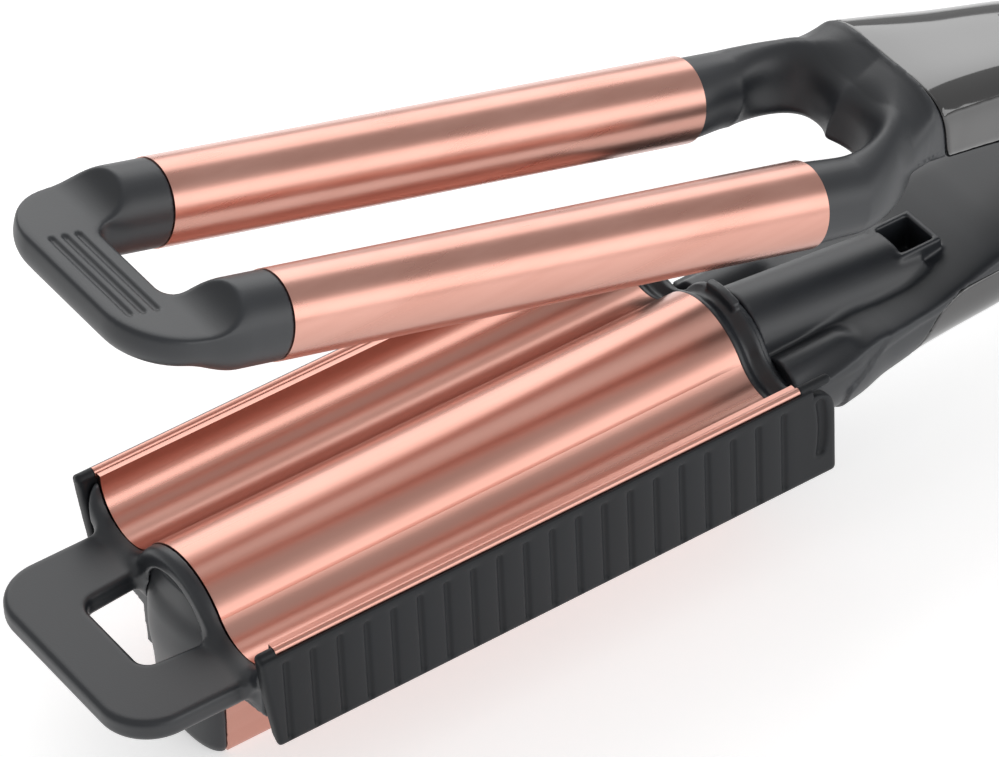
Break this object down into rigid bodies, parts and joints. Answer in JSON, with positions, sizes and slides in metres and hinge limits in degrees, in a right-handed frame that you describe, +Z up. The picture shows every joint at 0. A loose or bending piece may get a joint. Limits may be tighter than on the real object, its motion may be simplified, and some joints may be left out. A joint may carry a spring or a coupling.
{
  "type": "hair waver",
  "caption": "Hair waver with round rose-gold barrels that close into a W-shaped heated wave plate, sprung open about a hinge pin, with press buttons.",
  "frame": {"origin": "centre of the flat underside that the waver rests on, under the middle of the wave plate", "axes": "+X along the waver from the tip towards the cord, +Y across, +Z up from the table"},
  "size_m": [0.3376, 0.0728, 0.1346],
  "materials": {
    "rose_metal": "satin rose-gold coating with soft streaked highlights",
    "matte_case": "fine matte dark blue-grey plastic",
    "gloss_case": "polished black plastic",
    "control_plastic": "satin black plastic",
    "rose_button": "satin rose-gold button",
    "window": "smoked glossy window",
    "inner_plastic": "heat-resistant moulding",
    "saddle_metal": "machined",
    "ceramic": "white ceramic",
    "steel": "plain steel",
    "sensor_plastic": "glass-bead sensor in a moulded holder",
    "board": "circuit board with parts"
  },
  "bodies": {
    "lower_arm": {"wave_plate": "rose_metal", "rim_strips": "rose_metal", "front_cap": "matte_case", "nose_cap": "matte_case", "belly_shell": "rose_metal", "jaw_frame": "inner_plastic", "rear_cap": "matte_case", "guard_left": "matte_case", "guard_right": "matte_case", "heater_saddles": "saddle_metal", "plate_heaters": "ceramic", "plate_sensor": "sensor_plastic", "thermal_fuse": "steel", "jaw_screws": "steel", "lower_shell": "matte_case", "lower_cover": "gloss_case", "cover_screws": "steel", "hinge_bracket": "inner_plastic", "hinge_pin": "steel", "hinge_spring": "steel", "hinge_caps": "rose_metal", "swivel_socket": "matte_case"},
    "upper_arm": {"barrel_left": "rose_metal", "barrel_right": "rose_metal", "tip_bridge": "matte_case", "upper_shell": "matte_case", "upper_cover": "gloss_case", "rod_heaters": "steel", "rod_spacers": "ceramic", "hinge_knuckle": "inner_plastic", "control_board": "board", "panel_bezel": "control_plastic", "display_window": "window"},
    "power_button": {"power_button": "rose_button"},
    "plus_button": {"plus_button": "control_plastic"},
    "minus_button": {"minus_button": "control_plastic"},
    "lock_slider": {"lock_slider": "control_plastic"},
    "cord_swivel": {"cord_swivel": "matte_case"}
  },
  "joints": [
    {"name": "jaw_hinge", "type": "hinge", "parent": "lower_arm", "child": "upper_arm", "pos_m": [0.20875, 0, 0.0417], "axis": [0, 1, 0], "range_deg": [-16, 0], "stiffness_Nm_per_rad": 1.2, "springref_deg": 28.65, "deforming": ["hinge_spring"]},
    {"name": "power_press", "type": "slide", "parent": "upper_arm", "child": "power_button", "axis": [-0.2773, 0, -0.9608], "range_m": [0, 0.0008], "stiffness_N_per_m": 600, "springref_m": -0.0006},
    {"name": "plus_press", "type": "slide", "parent": "upper_arm", "child": "plus_button", "axis": [-0.2773, 0, -0.9608], "range_m": [0, 0.0008], "stiffness_N_per_m": 600, "springref_m": -0.0006},
    {"name": "minus_press", "type": "slide", "parent": "upper_arm", "child": "minus_button", "axis": [-0.2773, 0, -0.9608], "range_m": [0, 0.0008], "stiffness_N_per_m": 600, "springref_m": -0.0006},
    {"name": "lock_slide", "type": "slide", "parent": "lower_arm", "child": "lock_slider", "axis": [1, 0, 0], "range_m": [0, 0.005]},
    {"name": "cord_turn", "type": "hinge", "parent": "lower_arm", "child": "cord_swivel", "pos_m": [0.22675, 0, 0.0294], "axis": [1, 0, 0], "continuous": true}
  ]
}
